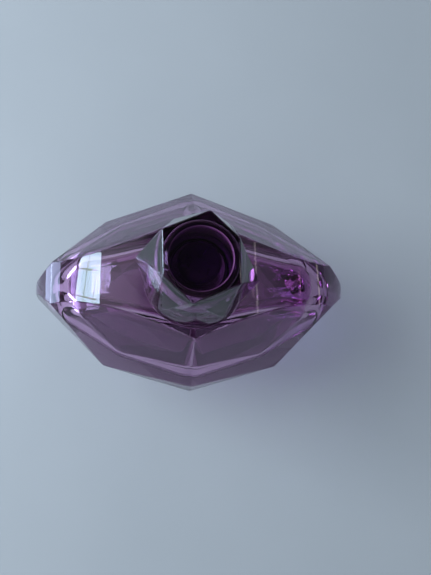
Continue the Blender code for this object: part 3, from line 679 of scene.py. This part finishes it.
# the end is cut on a slant, so that it can't seal against the floor
def makeDipTube():
    low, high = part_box("dip_tube")
    outer = (high.x - low.x) / 2
    bore = outer - dipTube["wall"]
    below = low.z - past
    piece = turned("tubeCut", [(outer, high.z), (outer, below), (bore, below), (bore, high.z)], 40)
    slant, block = dipTube["slant"], 8 * mm
    bm = bmesh.new()
    bmesh.ops.create_cube(bm, size=block)
    for vertex in bm.verts:
        vertex.co.z += vertex.co.x * slant + low.z + outer * slant - block / 2
    cut(piece, objectFrom("slantForm", bm))
    smoothUnder(piece, 32)
    fit(piece, "dip_tube", extrudedTube())
    print("dip tube", len(piece.data.polygons))


button = {
    "corner": 0.15 * mm, "nozzleRadius": 1.0 * mm, "room": 0.3 * mm, "nozzleZ": 67.1 * mm, "depth": 1.3 * mm,
    "channelRadius": 0.3 * mm, "channelZ": 67.75 * mm, "sides": 64,
}
nozzle = {
    "lead": 0.15 * mm, "dishRadius": 0.62 * mm, "dishDepth": 0.3 * mm, "rimDrop": 0.02 * mm,
    "orificeRadius": 0.3 * mm, "corner": 0.06 * mm,
}


# a turned form laid over, so that its axis points to the front of the button
def acrossFront(name, outline, height, sides):
    piece = turned(name, outline, sides)
    for vertex in piece.data.vertices:
        x, y, z = vertex.co
        vertex.co = (x, -z, height + y)
    faceOutwards(piece.data)
    return piece


# moulded and coloured through, from a polished tool: deep violet gloss with a whisper of flow
def glossyPlastic(name, pale, deep, roughness):
    made, tree, shader, place = newMaterial(name, IOR=1.53, Coat_Weight=0.25, Coat_Roughness=0.05)
    flow = addNode(tree, "ShaderNodeTexNoise", Vector=place, Scale=1 / (3 * mm), Detail=3.0, Distortion=1.2)
    shade = addNode(tree, "ShaderNodeValToRGB", Fac=flow.outputs[0])
    shade.color_ramp.elements[0].color = rgba(deep)
    shade.color_ramp.elements[1].color = rgba(pale)
    tree.links.new(shade.outputs[0], shader.inputs["Base Color"])
    gloss = addNode(tree, "ShaderNodeMapRange", Value=flow.outputs[0], i3=roughness, i4=roughness + 0.1)
    tree.links.new(gloss.outputs[0], shader.inputs["Roughness"])
    return made


def makeButton():
    b = button
    section = cadSection("actuator_button")
    radius = max(r for r, z in section)
    piece = turned("buttonMoulded", softened(section, b["corner"], 3, closed=False), 128)
    mouth, outside = radius - b["depth"], radius + past
    wide = b["nozzleRadius"] + b["room"]
    room = [(0, outside), (wide, outside), (wide, mouth), (0, mouth)]
    cut(piece, acrossFront("nozzleForm", room, b["nozzleZ"], b["sides"]))
    thin, near, far = b["channelRadius"], mouth + 0.2 * mm, 0.2 * mm    # from the mouth to the stem's bore
    channel = [(0, near), (thin, near), (thin, far), (0, far)]
    cut(piece, acrossFront("channelForm", channel, b["channelZ"], 24))
    smoothUnder(piece, 25)
    fit(piece, "actuator_button", glossyPlastic("buttonPolypropylene", "#2c1040", "#1d092c", 0.16))

    n = nozzle
    low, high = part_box("nozzle_insert")
    front, back, size = -low.y, -high.y, (high.x - low.x) / 2
    dished = [(size, front - n["lead"]), (size, back), (n["orificeRadius"], back),
              (n["orificeRadius"], front - n["dishDepth"]), (n["dishRadius"], front - n["rimDrop"]),
              (size - n["lead"], front)]
    insert = acrossFront("nozzleMoulded", softened(dished, n["corner"], 2), b["nozzleZ"], b["sides"])
    smoothUnder(insert, 32)
    fit(insert, "nozzle_insert", glossyPlastic("nozzleAcetal", "#2c133a", "#1c0b27", 0.24))
    print("button and nozzle", len(piece.data.polygons), len(insert.data.polygons))


# corners are degrees and mm from the axis; each stands again half a turn on
cap = {
    "footRadius": 14.5 * mm, "footHeight": 0.6 * mm, "girdle": 62.5 * mm, "bevel": 0.3 * mm,
    "seat": 0.06 * mm, "linerCorner": 0.8 * mm, "sides": 128,
    "tableCorners": ((27.0, 10.8), (79.5, 12.1), (145.0, 12.1)),
    "girdleCorners": ((50.5, 14.9), (116.0, 14.8), (169.5, 16.7)),
}


def ringPoints(radius, z, count, turn=0.0):
    angles = [math.radians(turn + 360 * i / count) for i in range(count)]
    return [(radius * math.cos(a), radius * math.sin(a), z) for a in angles]


# the gem: the skin stretched over a round foot, a girdle of six corners and a six-sided table
def makeCap():
    low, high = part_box("cap_outer")
    points = []
    for height in (low.z, low.z + cap["footHeight"]):
        points += ringPoints(cap["footRadius"], height, 180)
    for corners, height in ((cap["tableCorners"], high.z), (cap["girdleCorners"], cap["girdle"])):
        for azimuth, radius in corners:
            points += ringPoints(radius * mm, height, 2, azimuth)
    bm = stretched(points)
    joinFlats(bm)
    sharp = [e for e in bm.edges if e.calc_face_angle(0) > math.radians(10)
             and max(v.co.z for v in e.verts) > cap["girdle"] - 1 * mm]
    bevelled(bm, sharp, cap["bevel"], 3)
    bmesh.ops.recalc_face_normals(bm, faces=bm.faces)
    gem = objectFrom("capGem", bm)
    liner = cadSection("cap_liner")
    top = max(z for r, z in liner)
    widest = max(r for r, z in liner)
    side = liner[:max(i for i, p in enumerate(liner) if p[0] == widest) + 1]
    seat, corner, sides = cap["seat"], cap["linerCorner"], cap["sides"]
    room = [(0, top + seat)] + [(r + seat, z + seat) for r, z in side[1:-1]]
    room += [(widest + seat, low.z - past), (0, low.z - past)]
    cut(gem, turned("roomForm", softened(room, corner, 4, closed=False), sides))
    smoothUnder(gem, 4)
    fit(gem, "cap_outer", clearGem())
    cup = turned("capCup", softened(liner, corner, 4, closed=False), sides)
    smoothUnder(cup, 25)
    fit(cup, "cap_liner", violetLiner())
    print("cap", len(gem.data.polygons), len(cup.data.polygons))


# ionomer resin, moulded thick and polished: clear, with a lilac dye that deepens where it is thick, and
# slow flow lines inside its gloss
def clearGem():
    made, tree, shader, place = newMaterial("clearIonomer", IOR=1.51, Transmission_Weight=1.0)
    flow = addNode(tree, "ShaderNodeTexNoise", Vector=place, Scale=1 / (6 * mm), Detail=2.0, Distortion=0.5)
    haze = addNode(tree, "ShaderNodeMapRange", Value=flow.outputs[0], i1=0.5, i2=0.8, i3=0.0, i4=0.02)
    tree.links.new(haze.outputs[0], shader.inputs["Roughness"])
    shade = addNode(tree, "ShaderNodeValToRGB", Fac=flow.outputs[0])
    shade.color_ramp.elements[0].color = rgba("#ae8db2")
    shade.color_ramp.elements[1].color = rgba("#ba9abd")
    tree.links.new(shade.outputs[0], shader.inputs["Base Color"])
    bump = addNode(tree, "ShaderNodeBump", Height=flow.outputs[0], Strength=1.0, Distance=0.006 * mm)
    tree.links.new(bump.outputs[0], shader.inputs["Normal"])
    tintDepth(made, (0.50, 0.32, 0.48), 10 * mm)
    passLamps(made, "#e4e6e4")
    return made


# styrene coloured through with violet dye: its flat ceiling was moulded on a polished pin and is clear,
# and the satin side wall scatters the light that reaches it, so that it glows violet
def violetLiner():
    made, tree, shader, place = newMaterial("violetPolystyrene", IOR=1.57)
    cloud = addNode(tree, "ShaderNodeTexNoise", Vector=place, Scale=1 / (4 * mm), Detail=2.0)
    gloss = addNode(tree, "ShaderNodeMapRange", Value=cloud.outputs[0], i3=0.0, i4=0.06)
    tree.links.new(gloss.outputs[0], shader.inputs["Roughness"])
    shade = addNode(tree, "ShaderNodeValToRGB", Fac=cloud.outputs[0])
    shade.color_ramp.elements[0].color = rgba("#e9d2f5")
    shade.color_ramp.elements[1].color = rgba("#f6e6ff")
    tree.links.new(shade.outputs[0], shader.inputs["Base Color"])
    flat = addNode(tree, "ShaderNodeNewGeometry").outputs["True Normal"]
    facing = addNode(tree, "ShaderNodeSeparateXYZ", Vector=flat)
    level = addNode(tree, "ShaderNodeMath", {"operation": "ABSOLUTE"}, i0=facing.outputs["Z"])
    clear = addNode(tree, "ShaderNodeMapRange", Value=level.outputs[0], i1=0.3, i2=0.6, i3=0.3, i4=1.0)
    tree.links.new(clear.outputs[0], shader.inputs["Transmission Weight"])
    tintDepth(made, (0.16, 0.02, 0.24), 1 * mm)
    passLamps(made, "#9a74ac")
    return made


# glow is the brightness of the room by height: sine of the angle above the horizon, then radiance
stage = {
    "floor": "#9ba6b1", "grain": "#929da8", "size": 3.0, "sky": "#e2e9ee",
    "windowSide": 1.2, "farSide": 0.15,         # the room is brighter on its window side
    "glow": ((0.0, 0.34), (0.16, 0.26), (0.35, 0.08), (0.65, 1.15), (0.88, 0.95), (0.95, 0.10), (1.0, 0.05)),
}


# smooth laminate board, matt, with the faintest cloud in its colour
def paleBoard():
    made, tree, shader, place = newMaterial("paleLaminate", Roughness=0.55)
    cloud = addNode(tree, "ShaderNodeTexNoise", Vector=place, Scale=1 / (60 * mm), Detail=4.0)
    shade = addNode(tree, "ShaderNodeValToRGB", Fac=cloud.outputs[0])
    shade.color_ramp.elements[0].color = rgba(stage["grain"])
    shade.color_ramp.elements[1].color = rgba(stage["floor"])
    tree.links.new(shade.outputs[0], shader.inputs["Base Color"])
    return made


def makeStage():
    scene = bpy.context.scene
    scene.view_settings.view_transform = "Standard"
    size = stage["size"]
    mesh = bpy.data.meshes.new("floor")
    corners = [(-size, -size, 0), (size, -size, 0), (size, size, 0), (-size, size, 0)]
    mesh.from_pydata(corners, [], [(0, 1, 2, 3)])
    floor = newObject("floor", mesh)
    floor.data.materials.append(paleBoard())
    world = bpy.data.worlds.new("room")
    scene.world = world
    world.use_nodes = True
    tree = world.node_tree
    background = tree.nodes["Background"]
    sight = addNode(tree, "ShaderNodeTexCoord")
    height = addNode(tree, "ShaderNodeSeparateXYZ", Vector=sight.outputs["Generated"])
    glow = addNode(tree, "ShaderNodeFloatCurve", Value=height.outputs["Z"])
    line = glow.mapping.curves[0]
    for sine, radiance in stage["glow"][1:-1]:
        line.points.new(sine, radiance)
    line.points[0].location, line.points[-1].location = stage["glow"][0], stage["glow"][-1]
    glow.mapping.update()
    side = addNode(tree, "ShaderNodeMapRange", Value=height.outputs["X"], i1=-0.8, i2=0.8,
                   i3=stage["windowSide"], i4=stage["farSide"])
    lit = addNode(tree, "ShaderNodeMath", {"operation": "MULTIPLY"}, i0=glow.outputs[0], i1=side.outputs[0])
    tree.links.new(lit.outputs[0], background.inputs["Strength"])
    background.inputs["Color"].default_value = rgba(stage["sky"])
    print("floor and room")


# soft boxes: the way and how far each stands from the bottle, its size, its brightness at the surface and
# its colour; one that is only seen lights no matt surface, and one that only lights shows in no gloss.
# The upper box is the window that the glass mirrors, the card stands close to one point of the bottle, and
# the two narrow bars show as thin lines across the arched band, near its other point and beside the cap
softBoxes = {
    "upperBox": {"toward": (-0.80, 0.19, 0.57), "distance": 0.9, "size": (0.50, 0.30), "bright": 18.0,
                 "tint": "#c9e6ff", "lights": False, "seen": True,
                 "bars": {"pane": (0.40, 0.36), "thick": 0.014, "colour": "#b5b195"}},
    "sideCard": {"toward": (-0.985, 0.06, 0.075), "distance": 0.085, "size": (0.05, 0.027), "bright": 7.5,
                 "tint": "#bccdf8", "lights": False, "seen": True},
    "endBar": {"toward": (0.98, 0.13, 0.13), "distance": 0.9, "size": (0.40, 0.03), "bright": 2.2,
               "tint": "#efe9d2", "lights": False, "seen": True},
    "doorBar": {"toward": (0.535, 0.16, 0.83), "distance": 1.0, "size": (0.40, 0.015), "bright": 2.4,
                "tint": "#ece6dc", "lights": False, "seen": True},
    "windowFill": {"toward": (-0.80, 0.18, 0.57), "distance": 0.6, "size": (0.44, 0.44), "bright": 10.5,
                   "tint": "#f4f6f8", "lights": True, "seen": False},
}
aimHeight = 26 * mm         # the soft boxes face the middle of the bottle at this height


# bars of a window, which show as thin lines in whatever mirrors it; pane and thickness are shares of it
def glazingBars(light, bars):
    light.use_nodes = True
    tree = light.node_tree
    place = addNode(tree, "ShaderNodeNewGeometry").outputs["Parametric"]
    wide, high = bars["pane"]
    panes = addNode(tree, "ShaderNodeTexBrick", {"offset": 0.0}, Vector=place, Scale=1.0,
                    Mortar_Size=bars["thick"], Mortar_Smooth=0.3, Brick_Width=wide, Row_Height=high,
                    Color1=(1, 1, 1, 1), Color2=(1, 1, 1, 1), Mortar=rgba(bars["colour"]))
    tree.links.new(panes.outputs["Color"], tree.nodes["Emission"].inputs["Color"])


def makeSoftBoxes():
    for name, box in softBoxes.items():
        light = bpy.data.lights.new(name, "AREA")
        light.shape = "RECTANGLE"
        wide, tall = box["size"]
        light.size, light.size_y = wide, tall
        light.energy = box["bright"] * math.pi * wide * tall
        light.color = linear(box["tint"])
        if "bars" in box:
            glazingBars(light, box["bars"])
        made = newObject(name, light)
        toward = Vector(box["toward"]).normalized()
        made.location = Vector((0, 0, aimHeight)) + toward * box["distance"]
        made.rotation_euler = toward.to_track_quat("Z", "Y").to_euler()
        made.visible_camera = False
        made.visible_diffuse = box["lights"]
        made.visible_glossy = made.visible_transmission = box["seen"]
    print("soft boxes", len(softBoxes))


# held nearly over the bottle and a little askew: angles in degrees, focal length in millimetres
camera = {"azimuth": -24.45, "elevation": 78.91, "roll": 24.77, "distance": 294.04 * mm,
          "target": Vector((7.13, 0.35, 32.0)) * mm, "focal": 62.61}


def makeCamera():
    azimuth, elevation, roll = [math.radians(camera[k]) for k in ("azimuth", "elevation", "roll")]
    flat = math.cos(elevation)
    back = Vector((math.sin(azimuth) * flat, -math.cos(azimuth) * flat, math.sin(elevation)))
    right = (-back).cross(Vector((0, 0, 1))).normalized()
    up = right.cross(-back)
    across = right * math.cos(roll) + up * math.sin(roll)
    upward = up * math.cos(roll) - right * math.sin(roll)
    data = bpy.data.cameras.new("camera")
    data.lens = camera["focal"]
    data.clip_start = 0.01
    made = newObject("camera", data)
    place = camera["target"] + back * camera["distance"]
    made.matrix_world = Matrix([[across[i], upward[i], back[i], place[i]] for i in range(3)] + [[0, 0, 0, 1]])
    bpy.context.scene.camera = made
    print("camera")


makeGlass()
makePerfume()
makeTurnedParts()
makeSpring()
makeBall()
makeDipTube()
makeButton()
makeCap()
makeStage()
makeSoftBoxes()
makeCamera()
